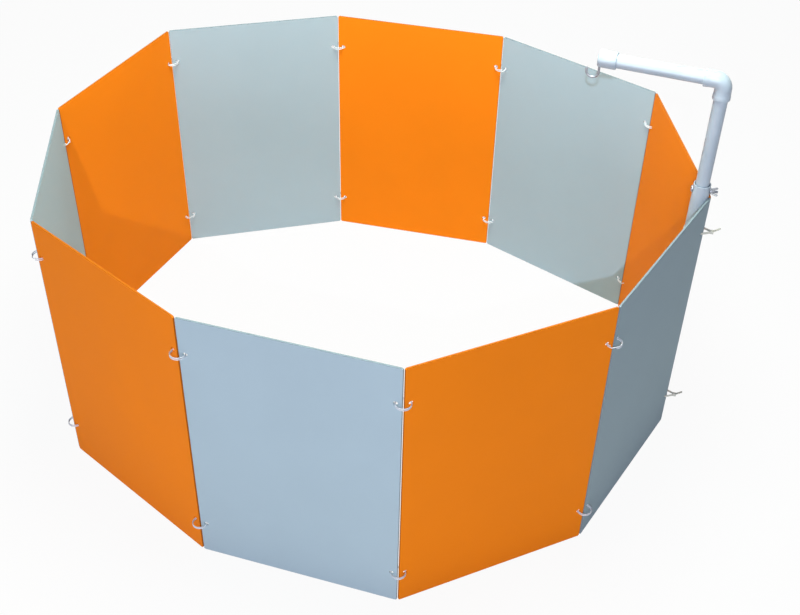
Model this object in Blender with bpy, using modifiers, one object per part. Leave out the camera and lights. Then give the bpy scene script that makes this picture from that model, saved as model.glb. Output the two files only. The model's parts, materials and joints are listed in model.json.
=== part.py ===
"""Chick brooder: ten plastic panels hinged by nylon rings into a corral, with a telescoping lamp stand.

Units are metres, +Z is up, and the middle of the footprint is the origin.
Corner 0 is the closing corner, where two cable ties and the stand are. The panels and
corners count on from it, clockwise as seen from above.
"""

import math

import bmesh
import bpy
from mathutils import Matrix, Vector

# Corral
PANEL_COUNT = 10
PANEL_WIDTH = 0.4064
PANEL_HEIGHT = 0.6096
SHEET_THICKNESS = 0.004
SHEET_CORNER_RADIUS = 0.004
SHEET_EDGE_ROUNDING = 0.0008
CORNER_GAP = 0.0012
CORNER_TURNS_DEG = (39.0, 32.3, 41.3, 24.5, 42.8, 31.6, 50.5, 26.7, 25.1, 46.2)
FIRST_HEADING_DEG = -122.6
ROOT_PANEL = 5

# Hinge rings and their holes
RING_RADIUS = 0.0142
RING_BAND_HEIGHT = 0.0054
RING_BAND_THICKNESS = 0.0022
RING_INNER_SHARE = 0.85
RING_OUTER_SHARE = 0.55
RING_SAG = 0.001
HOLE_DIAMETER = 0.009
HOLE_FROM_CORNER = 0.0134
HOLE_FROM_EDGE = 0.081
FOLD_CLEARANCE = 0.00015

# Cable ties at the closing corner
TIE_WIDTH = 0.0048
TIE_THICKNESS = 0.0013
TIE_HEAD_LENGTH = 0.0066
TIE_HEAD_WIDTH = 0.0076
TIE_HEAD_HEIGHT = 0.0060
TIE_HEAD_REACH = 0.0175
TIE_TAIL_LENGTH = 0.019
TIE_TAIL_RISE_DEG = 36
TIE_LEAD_SHARE = 0.12

# Lamp stand pipes and fittings
TUBE_DIAMETER = 0.0334
TUBE_WALL = 0.00165
TUBE_ABOVE_PANELS = 0.028
PIPE_DIAMETER = 0.0267
PIPE_WALL = 0.0016
PIPE_IN_TUBE = 0.250
HEIGHT_TRAVEL = 0.180
ARM_ABOVE_PANELS = 0.2515
ARM_REACH = 0.235
ARM_HEADING_DEG = 161
FITTING_WALL = 0.0031
ELBOW_LENGTH = 0.037
SOCKET_DEPTH = 0.022
CAP_LENGTH = 0.036
CAP_END_WALL = 0.004
CAP_DOME = 0.0007
CAP_EDGE_RADIUS = 0.004
FIT = 0.0003

# Lamp hook
HOOK_WIRE = 0.0046
HOOK_RADIUS = 0.0118
HOOK_FROM_CAP_END = 0.0042
HOOK_DROP = 0.0295
HOOK_TIP_RISE = 0.008

# Clamp bolt, washer and wing nut
BOLT_DIAMETER = 0.006
BOLT_ABOVE_PANELS = 0.0136
BOLT_TIP_REACH = 0.032
BOLT_HEAD_DIAMETER = 0.0135
BOLT_HEAD_HEIGHT = 0.0036
BOLT_CROWN_SHARES = ((0.97, 0.4), (0.62, 0.86))
WASHER_DIAMETER = 0.014
WASHER_THICKNESS = 0.0012
NUT_DIAMETER = 0.0105
NUT_LENGTH = 0.0062
NUT_TOP_SHARE = 0.82
NUT_FOOT_SHARE = 0.3
WING_SPAN = 0.024
WING_RISE = 0.0135
WING_WIDTH = 0.0048
WING_THICKNESS = 0.0021
WING_TURN_DEG = -80

# How finely the round forms are cut
PIPE_SIDES = 32
RING_SIDES = 24
STEEL_SIDES = 20
DRILL_SIDES = 16
CORNER_STEPS = 4
HOOK_STEPS = 14
MERGE_DISTANCE = 0.000001

# Sizes that follow from those above
PITCH = PANEL_WIDTH + 2 * CORNER_GAP
HOLE_HEIGHTS = {"lower": HOLE_FROM_EDGE, "upper": PANEL_HEIGHT - HOLE_FROM_EDGE}
TUBE_TOP = PANEL_HEIGHT + TUBE_ABOVE_PANELS
BOLT_HEIGHT = PANEL_HEIGHT + BOLT_ABOVE_PANELS
ARM_HEIGHT = PANEL_HEIGHT + ARM_ABOVE_PANELS
TUBE_RADIUS = TUBE_DIAMETER / 2
PIPE_RADIUS = PIPE_DIAMETER / 2
PIPE_BORE_RADIUS = PIPE_RADIUS - PIPE_WALL
SOCKET_RADIUS = PIPE_RADIUS + FIT
FITTING_RADIUS = SOCKET_RADIUS + FITTING_WALL
SHOULDER = ELBOW_LENGTH - SOCKET_DEPTH

ORANGE = ("orange_sheet", (0.79, 0.24, 0.015), 0.42, 0.0)
GREY = ("grey_sheet", (0.36, 0.45, 0.55), 0.42, 0.0)
NYLON = ("white_nylon", (0.80, 0.83, 0.86), 0.35, 0.0)
PVC = ("white_pvc", (0.78, 0.82, 0.88), 0.30, 0.0)
STEEL = ("zinc_steel", (0.55, 0.57, 0.60), 0.30, 1.0)

plan_places = {}


def start_scene():
    """Empties the scene and returns its two collections: the parts and their cutters."""
    for obj in list(bpy.data.objects):
        bpy.data.objects.remove(obj, do_unlink=True)
    made = []
    for name in ("chick_brooder", "cutters"):
        collection = bpy.data.collections.new(name)
        bpy.context.scene.collection.children.link(collection)
        made.append(collection)
    return made


PARTS, CUTTERS = start_scene()


def material(look):
    """The material of this look, made the first time that it is asked for."""
    name, colour, roughness, metallic = look
    if name in bpy.data.materials:
        return bpy.data.materials[name]
    made = bpy.data.materials.new(name)
    made.use_nodes = True
    made.diffuse_color = (*colour, 1)
    shader = made.node_tree.nodes["Principled BSDF"]
    shader.inputs["Base Color"].default_value = (*colour, 1)
    shader.inputs["Roughness"].default_value = roughness
    shader.inputs["Metallic"].default_value = metallic
    return made


def place(obj, parent, matrix):
    """Hangs an object under its parent at a place given in the plan's frame."""
    obj.parent = parent
    above = plan_places[parent.name] if parent else Matrix.Identity(4)
    obj.matrix_local = above.inverted() @ matrix
    plan_places[obj.name] = matrix
    return obj


def empty(name, parent, matrix):
    made = bpy.data.objects.new(name, None)
    made.empty_display_size = 0.03
    PARTS.objects.link(made)
    return place(made, parent, matrix)


def part(name, mesh, look, parent, matrix):
    """A sub-part: its own object, with its own material."""
    made = bpy.data.objects.new(name, mesh)
    if not mesh.materials:
        mesh.materials.append(material(look))
    PARTS.objects.link(made)
    return place(made, parent, matrix)


def cutter(name, mesh, parent, matrix):
    """A helper for Booleans, kept out of the render."""
    made = bpy.data.objects.new(name, mesh)
    made.hide_render = True
    made.display_type = "WIRE"
    CUTTERS.objects.link(made)
    return place(made, parent, matrix)


def boolean(obj, other, operation):
    modifier = obj.modifiers.new(f"{operation.lower()}_{other.name}", "BOOLEAN")
    modifier.operation = operation
    modifier.object = other


def baked(obj):
    """The mesh that an object's modifiers or curve make, closed up, with the object removed."""
    bpy.context.view_layer.update()
    graph = bpy.context.evaluated_depsgraph_get()
    mesh = bpy.data.meshes.new_from_object(obj.evaluated_get(graph))
    mesh.name = obj.name
    bm = bmesh.new()
    bm.from_mesh(mesh)
    bmesh.ops.remove_doubles(bm, verts=bm.verts, dist=MERGE_DISTANCE)
    bmesh.ops.recalc_face_normals(bm, faces=bm.faces)
    bm.to_mesh(mesh)
    bm.free()
    bpy.data.objects.remove(obj, do_unlink=True)
    return mesh


def smooth(mesh, sharp_deg=35):
    mesh.shade_smooth()
    mesh.set_sharp_from_angle(angle=math.radians(sharp_deg))
    return mesh


def turned(name, profile, steps, matrix=None):
    """A solid of revolution about Z from a closed profile of (radius, height) points.

    The points run down the outer side. Those on the axis close the solid there.
    """
    mesh = bpy.data.meshes.new(name)
    points = [(radius, 0, height) for radius, height in profile]
    count = len(points)
    hollow = all(radius > 0 for radius, _ in profile)
    edges = [(i, i + 1) for i in range(count - 1)]
    if hollow:
        edges.append((count - 1, 0))
    mesh.from_pydata(points, edges, [])
    obj = bpy.data.objects.new(name, mesh)
    bpy.context.scene.collection.objects.link(obj)
    screw = obj.modifiers.new("screw", "SCREW")
    screw.axis = "Z"
    screw.angle = 2 * math.pi
    screw.steps = steps
    screw.render_steps = steps
    screw.use_merge_vertices = True
    screw.merge_threshold = MERGE_DISTANCE
    made = baked(obj)
    if matrix:
        made.transform(matrix)
    return smooth(made)


def rod(name, radius, low, high, matrix=None):
    """A plain cylinder along Z, from one height to another."""
    profile = [(0, high), (radius, high), (radius, low), (0, low)]
    return turned(name, profile, DRILL_SIDES, matrix)


def pipe(name, outer, inner, low, high, steps=PIPE_SIDES):
    """An open tube along Z with lightly broken edges at its ends."""
    edge = min(outer - inner, high - low) / 4
    profile = [
        (inner, high),
        (outer - edge, high),
        (outer, high - edge),
        (outer, low + edge),
        (outer - edge, low),
        (inner, low),
    ]
    return turned(name, profile, steps)


def box(name, size, centre):
    bm = bmesh.new()
    bmesh.ops.create_cube(bm, size=1)
    bmesh.ops.scale(bm, vec=size, verts=bm.verts)
    bmesh.ops.translate(bm, vec=centre, verts=bm.verts)
    mesh = bpy.data.meshes.new(name)
    bm.to_mesh(mesh)
    bm.free()
    return mesh


def plate(name, outline, thickness, matrix=None):
    """A flat piece: an outline in the XY plane, made solid to both sides of it."""
    curve = bpy.data.curves.new(name, "CURVE")
    curve.dimensions = "2D"
    curve.fill_mode = "BOTH"
    curve.extrude = thickness / 2
    spline = curve.splines.new("POLY")
    spline.points.add(len(outline) - 1)
    for point, (x, y) in zip(spline.points, outline):
        point.co = (x, y, 0, 1)
    spline.use_cyclic_u = True
    obj = bpy.data.objects.new(name, curve)
    bpy.context.scene.collection.objects.link(obj)
    mesh = baked(obj)
    if matrix:
        mesh.transform(matrix)
    return mesh


def direction(heading):
    return Vector((math.cos(heading), math.sin(heading), 0))


def corner_walk(turns):
    """Corner points and panel headings, from corner 0 on, for these turns in radians."""
    heading = math.radians(FIRST_HEADING_DEG)
    corners = [Vector((0, 0, 0))]
    headings = []
    for index in range(PANEL_COUNT):
        headings.append(heading)
        corners.append(corners[-1] + PITCH * direction(heading))
        heading -= turns[(index + 1) % PANEL_COUNT]
    return corners, headings


def closed_turns():
    """The stated turns, altered as little as lets the last panel meet the first."""
    turns = [math.radians(turn) for turn in CORNER_TURNS_DEG]
    step = 1e-6
    for _ in range(12):

        def miss(values):
            corners, _ = corner_walk(values)
            gap = (corners[-1] - corners[0]) / PITCH
            return Vector((gap.x, gap.y, sum(values) - 2 * math.pi))

        start = miss(turns)
        slopes = []
        for index in range(PANEL_COUNT):
            moved = list(turns)
            moved[index] += step
            slopes.append((miss(moved) - start) / step)
        normal = Matrix([[sum(s[i] * s[j] for s in slopes) for j in range(3)] for i in range(3)])
        pull = normal.inverted() @ start
        turns = [turn - slope.dot(pull) for turn, slope in zip(turns, slopes)]
    return turns


def inward(index):
    """Unit vector from a corner along its bisector, into the corral."""
    before = headings[index - 1]
    mid = before - turns[index] / 2
    return Vector((math.sin(mid), -math.cos(mid), 0))


def folds_out(index):
    """Corners fold one way and the other in turn, so that the panels close up like a fan."""
    return index % 2 == 1


def hinge_point(index):
    """The fold's axis lies just clear of the faces that the fold brings together."""
    off_face = (SHEET_THICKNESS / 2 + FOLD_CLEARANCE) / math.cos(turns[index] / 2)
    side = -1 if folds_out(index) else 1
    return corners[index] + side * off_face * inward(index)


def panel_mesh(look):
    """One sheet, standing on the floor: X along its width from the corner, Y through it."""
    bm = bmesh.new()
    bmesh.ops.create_cube(bm, size=1)
    bmesh.ops.scale(bm, vec=(PANEL_WIDTH, SHEET_THICKNESS, PANEL_HEIGHT), verts=bm.verts)
    centre = (CORNER_GAP + PANEL_WIDTH / 2, 0, PANEL_HEIGHT / 2)
    bmesh.ops.translate(bm, vec=centre, verts=bm.verts)
    through = [e for e in bm.edges if abs(e.verts[0].co.y - e.verts[1].co.y) > SHEET_THICKNESS / 2]
    bmesh.ops.bevel(
        bm, geom=through, offset=SHEET_CORNER_RADIUS, segments=3, profile=0.5, affect="EDGES"
    )
    bm.normal_update()
    rim = []
    for edge in bm.edges:
        facing = [round(abs(face.normal.y)) for face in edge.link_faces]
        if facing[0] != facing[1]:
            rim.append(edge)
    bmesh.ops.bevel(
        bm, geom=rim, offset=SHEET_EDGE_ROUNDING, segments=2, profile=0.5, affect="EDGES"
    )
    mesh = bpy.data.meshes.new(look[0])
    bm.to_mesh(mesh)
    bm.free()
    sheet = bpy.data.objects.new(look[0], mesh)
    bpy.context.scene.collection.objects.link(sheet)
    drills = []
    for x in (HOLE_FROM_CORNER, PITCH - HOLE_FROM_CORNER):
        for level, height in HOLE_HEIGHTS.items():
            across = Matrix.Translation((x, 0, height)) @ Matrix.Rotation(math.pi / 2, 4, "X")
            drill_mesh = rod("drill", HOLE_DIAMETER / 2, -SHEET_THICKNESS, SHEET_THICKNESS, across)
            drill = bpy.data.objects.new(f"drill_{level}", drill_mesh)
            bpy.context.scene.collection.objects.link(drill)
            boolean(sheet, drill, "DIFFERENCE")
            drills.append(drill)
    made = baked(sheet)
    for drill in drills:
        bpy.data.objects.remove(drill, do_unlink=True)
    made.materials.clear()
    made.materials.append(material(look))
    return smooth(made)


def panel_place(index):
    """Panel 1 starts at corner 0, panel 2 at corner 1, and so on."""
    start = corners[index - 1]
    return Matrix.Translation(start) @ Matrix.Rotation(headings[index - 1], 4, "Z")


def add_panel(index, parent):
    look = ORANGE if index % 2 == 0 else GREY
    return part(f"panel_{index:02d}", sheet_meshes[look[0]], look, parent, panel_place(index))


def ring_mesh():
    """A flat nylon band bent round to a ring, its outer face a little domed."""
    inner = RING_RADIUS - RING_BAND_THICKNESS / 2
    outer = RING_RADIUS + RING_BAND_THICKNESS / 2
    half = RING_BAND_HEIGHT / 2
    profile = [
        (inner, half * RING_INNER_SHARE),
        (RING_RADIUS, half),
        (outer, half * RING_OUTER_SHARE),
        (outer, -half * RING_OUTER_SHARE),
        (RING_RADIUS, -half),
        (inner, -half * RING_INNER_SHARE),
    ]
    return turned("hinge_ring", profile, RING_SIDES)


def add_rings(index, parent):
    """The two rings of one corner, centred on its fold axis and hanging on the holes' edges."""
    for level, height in HOLE_HEIGHTS.items():
        centre = hinge_point(index) + Vector((0, 0, height - RING_SAG))
        part(f"hinge_ring_{index}_{level}", shared_ring, NYLON, parent, Matrix.Translation(centre))


def fold_chain(order, root):
    """Hangs panels one from the next: each on an empty on the fold axis between them."""
    parent = root
    for index, corner in order:
        add_rings(corner, parent)
        axis = empty(f"fold_axis_{corner}", parent, Matrix.Translation(hinge_point(corner)))
        parent = add_panel(index, axis)
    return parent


def around(centre, radius, start, end, count):
    """Points on an arc in plan, from one angle to another."""
    found = []
    for step in range(count):
        angle = start + (end - start) * step / (count - 1)
        found.append(centre + radius * Vector((math.cos(angle), math.sin(angle))))
    return found


def band_outline(path, thickness):
    """The outline of a band that follows an open path in plan."""
    left = []
    right = []
    for index, point in enumerate(path):
        before = path[max(index - 1, 0)]
        after = path[min(index + 1, len(path) - 1)]
        along = (after - before).normalized()
        side = Vector((-along.y, along.x)) * thickness / 2
        left.append(point + side)
        right.append(point - side)
    return left + right[::-1]


def tie_path():
    """The strap in plan: X outward from corner 0, Y across. Out of the head, through the
    hole of one panel, round the inside of the tube, and back through the other panel."""
    tube = Vector((-post_inset, 0))
    wrap = TUBE_RADIUS + FIT + TIE_THICKNESS / 2
    away = math.pi / 2 + turns[0] / 2
    hole = HOLE_FROM_CORNER * Vector((math.cos(away), math.sin(away)))
    to_hole = hole - tube
    touch = math.atan2(to_hole.y, to_hole.x) + math.acos(wrap / to_hole.length)
    mouth = Vector((TIE_HEAD_REACH, TIE_THICKNESS))
    half = [mouth, mouth + (hole - mouth) * TIE_LEAD_SHARE, hole]
    half += around(tube, wrap, touch, math.pi, 9)
    return half + [Vector((point.x, -point.y)) for point in half[-2::-1]]


def tie_mesh():
    """The strap's loop with its head, and the cut tail that rises from the head."""
    here = Matrix.Identity(4)
    loop = plate("tie_strap", band_outline(tie_path(), TIE_THICKNESS), TIE_WIDTH)
    strap = part("tie_strap", loop, NYLON, None, here)
    head = box("tie_head", (TIE_HEAD_LENGTH, TIE_HEAD_WIDTH, TIE_HEAD_HEIGHT), (TIE_HEAD_REACH, 0, 0))
    tail = box("tie_tail", (TIE_TAIL_LENGTH, TIE_WIDTH, TIE_THICKNESS), (TIE_TAIL_LENGTH / 2, 0, 0))
    rise = Matrix.Rotation(-math.radians(TIE_TAIL_RISE_DEG), 4, "Y")
    tail.transform(Matrix.Translation((TIE_HEAD_REACH, 0, 0)) @ rise)
    helpers = [cutter("tie_head_shape", head, None, here), cutter("tie_tail_shape", tail, None, here)]
    for helper in helpers:
        boolean(strap, helper, "UNION")
    made = baked(strap)
    for helper in helpers:
        bpy.data.objects.remove(helper, do_unlink=True)
    return smooth(made)


def add_ties(parent):
    outward = -inward(0)
    turn = Matrix.Rotation(math.atan2(outward.y, outward.x), 4, "Z")
    mesh = tie_mesh()
    for level, height in HOLE_HEIGHTS.items():
        centre = corners[0] + Vector((0, 0, height))
        part(f"closure_tie_{level}", mesh, NYLON, parent, Matrix.Translation(centre) @ turn)


def add_outer_tube(parent, post):
    """The fixed half of the post. It stands on the floor in the closing corner."""
    mesh = pipe("outer_tube", TUBE_RADIUS, TUBE_RADIUS - TUBE_WALL, 0, TUBE_TOP)
    tube = part("stand_outer_tube", mesh, PVC, parent, post)
    hole = rod("tube_bolt_hole", BOLT_DIAMETER / 2 + FIT, -2 * TUBE_RADIUS, 2 * TUBE_RADIUS)
    boolean(tube, cutter("tube_bolt_drill", hole, parent, bolt_place), "DIFFERENCE")
    return tube


def add_inner_pipe(parent, post):
    """The sliding half of the post. A slot lets it rise past the clamp bolt."""
    low = TUBE_TOP - PIPE_IN_TUBE
    high = ARM_HEIGHT - SHOULDER - FIT
    mesh = pipe("inner_pipe", PIPE_RADIUS, PIPE_BORE_RADIUS, low, high)
    inner = part("stand_inner_pipe", mesh, PVC, parent, post)
    width = BOLT_DIAMETER + 2 * FIT
    end = width / 2
    outline = around(Vector((0, 0)), end, -math.pi / 2, math.pi / 2, 7)
    outline += around(Vector((-HEIGHT_TRAVEL, 0)), end, math.pi / 2, 3 * math.pi / 2, 7)
    slot = plate("height_slot", outline, 3 * PIPE_RADIUS)
    slot.transform(Matrix(((0, 0, 1, 0), (0, 1, 0, 0), (1, 0, 0, 0), (0, 0, 0, 1))))
    slot.flip_normals()
    turn = bolt_place @ Matrix.Rotation(-math.pi / 2, 4, "Y")
    boolean(inner, cutter("height_slot_shape", slot, parent, turn), "DIFFERENCE")
    return inner


def mitred(name, profile):
    """A right-angled bend: one leg down, cut across at its round end, and its mirror image."""
    leg = turned(name, profile, PIPE_SIDES, Matrix.Rotation(math.pi, 4, "X"))
    bm = bmesh.new()
    bm.from_mesh(leg)
    whole = bm.verts[:] + bm.edges[:] + bm.faces[:]
    bmesh.ops.bisect_plane(bm, geom=whole, plane_co=(0, 0, 0), plane_no=(1, 0, 1), clear_outer=True)
    copied = bmesh.ops.duplicate(bm, geom=bm.verts[:] + bm.edges[:] + bm.faces[:])["geom"]
    across = Matrix(((0, 0, -1, 0), (0, 1, 0, 0), (-1, 0, 0, 0), (0, 0, 0, 1)))
    verts = [item for item in copied if isinstance(item, bmesh.types.BMVert)]
    bmesh.ops.transform(bm, matrix=across, verts=verts)
    bmesh.ops.remove_doubles(bm, verts=bm.verts, dist=MERGE_DISTANCE)
    bmesh.ops.recalc_face_normals(bm, faces=bm.faces)
    bm.to_mesh(leg)
    bm.free()
    return smooth(leg)


def ball_end(radius):
    """The rest of a leg's profile, from its side round to the pole behind the bend."""
    angles = [math.pi / 2 * i / 6 for i in range(6)]
    return [(radius * math.cos(a), -radius * math.sin(a)) for a in angles] + [(0, -radius)]


def add_elbow(parent, matrix):
    """A short-radius slip elbow: a socket down and a socket out, bored through."""
    lip = FITTING_WALL / 4
    outside = [
        (0, ELBOW_LENGTH),
        (FITTING_RADIUS - lip, ELBOW_LENGTH),
        (FITTING_RADIUS, ELBOW_LENGTH - lip),
    ]
    inside = [
        (0, 2 * ELBOW_LENGTH),
        (SOCKET_RADIUS, 2 * ELBOW_LENGTH),
        (SOCKET_RADIUS, SHOULDER),
        (PIPE_BORE_RADIUS, SHOULDER),
    ]
    elbow = part("stand_elbow", mitred("elbow", outside + ball_end(FITTING_RADIUS)), PVC, parent, matrix)
    bores = mitred("elbow_bores", inside + ball_end(PIPE_BORE_RADIUS))
    boolean(elbow, cutter("elbow_bores", bores, parent, matrix), "DIFFERENCE")
    return elbow


def add_arm(parent, matrix):
    """The pipe that reaches out over the chicks, from the elbow's shoulder into the cap."""
    start = SHOULDER + FIT
    end = ARM_REACH - HOOK_FROM_CAP_END - HOOK_WIRE
    out = matrix @ Matrix.Rotation(math.pi / 2, 4, "Y")
    return part("stand_arm", pipe("arm", PIPE_RADIUS, PIPE_BORE_RADIUS, start, end), PVC, parent, out)


def add_end_cap(parent, matrix):
    """A slip cap with a low domed end and a rounded rim, drilled from below for the hook."""
    mouth = ARM_REACH - CAP_LENGTH
    lip = FITTING_WALL / 4
    rim_radius = FITTING_RADIUS - CAP_EDGE_RADIUS
    rim_height = ARM_REACH - CAP_DOME - CAP_EDGE_RADIUS
    profile = [(0, ARM_REACH)]
    for step in range(CORNER_STEPS + 1):
        angle = math.pi / 2 * (1 - step / CORNER_STEPS)
        reach = rim_radius + CAP_EDGE_RADIUS * math.cos(angle)
        profile.append((reach, rim_height + CAP_EDGE_RADIUS * math.sin(angle)))
    profile += [
        (FITTING_RADIUS, mouth + lip),
        (FITTING_RADIUS - lip, mouth),
        (SOCKET_RADIUS, mouth),
        (SOCKET_RADIUS, ARM_REACH - CAP_END_WALL),
        (0, ARM_REACH - CAP_END_WALL),
    ]
    out = matrix @ Matrix.Rotation(math.pi / 2, 4, "Y")
    cap = part("stand_end_cap", turned("end_cap", profile, PIPE_SIDES), PVC, parent, out)
    hole = rod("hook_hole", HOOK_WIRE / 2 + FIT, -2 * FITTING_RADIUS, 0)
    at = matrix @ Matrix.Translation((ARM_REACH - HOOK_FROM_CAP_END, 0, 0))
    boolean(cap, cutter("hook_drill", hole, parent, at), "DIFFERENCE")
    return cap


def add_hook(parent, matrix):
    """A J hook screwed up into the cap, its mouth open past the cap's end."""
    top = -SOCKET_RADIUS + 2 * HOOK_WIRE
    path = [Vector((0, 0, top)), Vector((0, 0, -FITTING_RADIUS)), Vector((0, 0, -HOOK_DROP + HOOK_WIRE / 2))]
    for step in range(HOOK_STEPS + 1):
        angle = math.pi + math.pi * step / HOOK_STEPS
        across = HOOK_RADIUS + HOOK_RADIUS * math.cos(angle)
        path.append(Vector((across, 0, -HOOK_DROP + HOOK_RADIUS * math.sin(angle))))
    path.append(path[-1] + Vector((0, 0, HOOK_TIP_RISE)))
    curve = bpy.data.curves.new("lamp_hook", "CURVE")
    curve.dimensions = "3D"
    curve.bevel_depth = HOOK_WIRE / 2
    curve.bevel_resolution = 2
    curve.use_fill_caps = True
    spline = curve.splines.new("POLY")
    spline.points.add(len(path) - 1)
    for point, place_on_path in zip(spline.points, path):
        point.co = (*place_on_path, 1)
    wire = bpy.data.objects.new("lamp_hook_wire", curve)
    bpy.context.scene.collection.objects.link(wire)
    at = matrix @ Matrix.Translation((ARM_REACH - HOOK_FROM_CAP_END, 0, 0))
    return part("lamp_hook", smooth(baked(wire)), STEEL, parent, at)


def add_bolt(parent):
    """A round-headed bolt through both pipes, its head inside the corral."""
    seat = TUBE_RADIUS + FIT
    radius = BOLT_DIAMETER / 2
    head = BOLT_HEAD_DIAMETER / 2
    chamfer = radius / 4
    profile = [
        (0, BOLT_TIP_REACH),
        (radius - chamfer, BOLT_TIP_REACH),
        (radius, BOLT_TIP_REACH - chamfer),
        (radius, -seat),
        (head, -seat),
    ]
    for width, rise in BOLT_CROWN_SHARES:
        profile.append((head * width, -seat - BOLT_HEAD_HEIGHT * rise))
    profile.append((0, -seat - BOLT_HEAD_HEIGHT))
    return part("clamp_bolt", turned("clamp_bolt", profile, STEEL_SIDES), STEEL, parent, bolt_place)


def add_washer(parent):
    low = TUBE_RADIUS + FIT
    bore = BOLT_DIAMETER / 2 + FIT
    mesh = pipe("clamp_washer", WASHER_DIAMETER / 2, bore, low, low + WASHER_THICKNESS, STEEL_SIDES)
    return part("clamp_washer", mesh, STEEL, parent, bolt_place)


def add_wing_nut(parent):
    """A hub with two round-ended wings that lean away from the washer, nearly level at rest."""
    low = TUBE_RADIUS + 2 * FIT + WASHER_THICKNESS
    bore = BOLT_DIAMETER / 2 + FIT
    hub = NUT_DIAMETER / 2
    top = low + NUT_LENGTH
    profile = [
        (bore, top),
        (hub * NUT_TOP_SHARE, top),
        (hub, low + NUT_LENGTH * NUT_FOOT_SHARE),
        (hub, low),
        (bore, low),
    ]
    axis = empty("wing_nut_axis", parent, bolt_place)
    nut = part("clamp_wing_nut", turned("wing_nut", profile, STEEL_SIDES), STEEL, axis, bolt_place)
    half = WING_WIDTH / 2
    root = Vector((bore + half, low + half))
    tip = Vector((WING_SPAN / 2 - half, low + WING_RISE - half))
    lean = (tip - root).angle_signed(Vector((1, 0)))
    outline = [root + half * Vector((math.sin(lean), -math.cos(lean)))]
    outline += around(tip, half, lean - math.pi / 2, lean + math.pi / 2, 7)
    outline.append(root - half * Vector((math.sin(lean), -math.cos(lean))))
    upright = Matrix.Rotation(math.pi / 2, 4, "X")
    for name, half_turn in (("wing_one", 0), ("wing_two", math.pi)):
        turn = Matrix.Rotation(math.radians(WING_TURN_DEG) + half_turn, 4, "Z")
        wing = plate(name, outline, WING_THICKNESS, turn @ upright)
        boolean(nut, cutter(name, wing, axis, bolt_place), "UNION")
    return nut


def add_stand(parent):
    """The post, its arm and their clamp, carried by the first panel at the closing corner."""
    post = Matrix.Translation(post_point)
    add_outer_tube(parent, post)
    add_bolt(parent)
    add_washer(parent)
    add_wing_nut(parent)
    slide = empty("post_slide_axis", parent, post)
    add_inner_pipe(slide, post)
    elbow_point = post_point + Vector((0, 0, ARM_HEIGHT))
    arm = Matrix.Translation(elbow_point) @ Matrix.Rotation(math.radians(ARM_HEADING_DEG), 4, "Z")
    swing = empty("arm_swing_axis", slide, arm)
    add_elbow(swing, arm)
    add_arm(swing, arm)
    add_end_cap(swing, arm)
    add_hook(swing, arm)


def centre_on_floor(root):
    """Moves the whole brooder so that the middle of its footprint is the origin."""
    bpy.context.view_layer.update()
    graph = bpy.context.evaluated_depsgraph_get()
    points = []
    for obj in PARTS.objects:
        if obj.type == "EMPTY":
            continue
        seen = obj.evaluated_get(graph)
        points += [seen.matrix_world @ Vector(corner) for corner in seen.bound_box]
    for axis in (0, 1):
        values = [point[axis] for point in points]
        root.location[axis] -= (min(values) + max(values)) / 2


turns = closed_turns()
corners, headings = corner_walk(turns)
corners = corners[:PANEL_COUNT]
post_inset = (SHEET_THICKNESS / 2 + FIT + TUBE_RADIUS) / math.cos(turns[0] / 2)
post_point = corners[0] + post_inset * inward(0)
outward_heading = math.atan2(-inward(0).y, -inward(0).x)
bolt_place = (
    Matrix.Translation(post_point + Vector((0, 0, BOLT_HEIGHT)))
    @ Matrix.Rotation(outward_heading, 4, "Z")
    @ Matrix.Rotation(math.pi / 2, 4, "Y")
)
sheet_meshes = {look[0]: panel_mesh(look) for look in (ORANGE, GREY)}
shared_ring = ring_mesh()

brooder = empty("brooder_origin", None, Matrix.Identity(4))
root_panel = add_panel(ROOT_PANEL, brooder)
first_panel = fold_chain([(index, index) for index in range(ROOT_PANEL - 1, 0, -1)], root_panel)
fold_chain([(index, index - 1) for index in range(ROOT_PANEL + 1, PANEL_COUNT + 1)], root_panel)
add_ties(first_panel)
add_stand(first_panel)
centre_on_floor(brooder)
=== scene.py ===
"""Chick brooder: the looks of the panels, hinge rings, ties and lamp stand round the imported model.

Every size and place that the frame holds is read from it. A piece is modelled in a frame of
its own, keeps its own coordinates in the attribute "made_at", and is then put in its place.
"""

import json
import math

import bmesh
import bpy
import numpy as np
from mathutils import Matrix, Vector

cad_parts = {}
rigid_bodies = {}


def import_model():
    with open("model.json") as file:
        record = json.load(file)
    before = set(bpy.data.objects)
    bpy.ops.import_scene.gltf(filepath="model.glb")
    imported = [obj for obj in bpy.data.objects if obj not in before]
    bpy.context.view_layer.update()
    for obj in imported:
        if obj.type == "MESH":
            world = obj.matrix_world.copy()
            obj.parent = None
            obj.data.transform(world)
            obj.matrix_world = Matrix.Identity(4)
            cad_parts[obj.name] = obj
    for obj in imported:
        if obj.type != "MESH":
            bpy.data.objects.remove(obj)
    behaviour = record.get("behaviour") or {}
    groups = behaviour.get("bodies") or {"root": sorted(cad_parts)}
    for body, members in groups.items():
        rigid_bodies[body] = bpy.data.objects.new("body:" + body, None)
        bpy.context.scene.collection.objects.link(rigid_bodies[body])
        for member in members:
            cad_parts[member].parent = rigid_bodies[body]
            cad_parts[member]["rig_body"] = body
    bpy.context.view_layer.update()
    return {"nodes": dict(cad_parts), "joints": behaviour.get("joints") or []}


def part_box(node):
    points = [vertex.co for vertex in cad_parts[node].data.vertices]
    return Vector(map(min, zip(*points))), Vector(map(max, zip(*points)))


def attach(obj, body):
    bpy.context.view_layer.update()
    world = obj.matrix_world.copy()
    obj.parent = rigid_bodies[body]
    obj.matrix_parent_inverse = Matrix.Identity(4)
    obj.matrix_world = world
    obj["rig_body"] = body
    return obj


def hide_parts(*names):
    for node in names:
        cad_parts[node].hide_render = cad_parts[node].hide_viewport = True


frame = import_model()

PANEL_COUNT = 10
LEVELS = ("lower", "upper")

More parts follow.
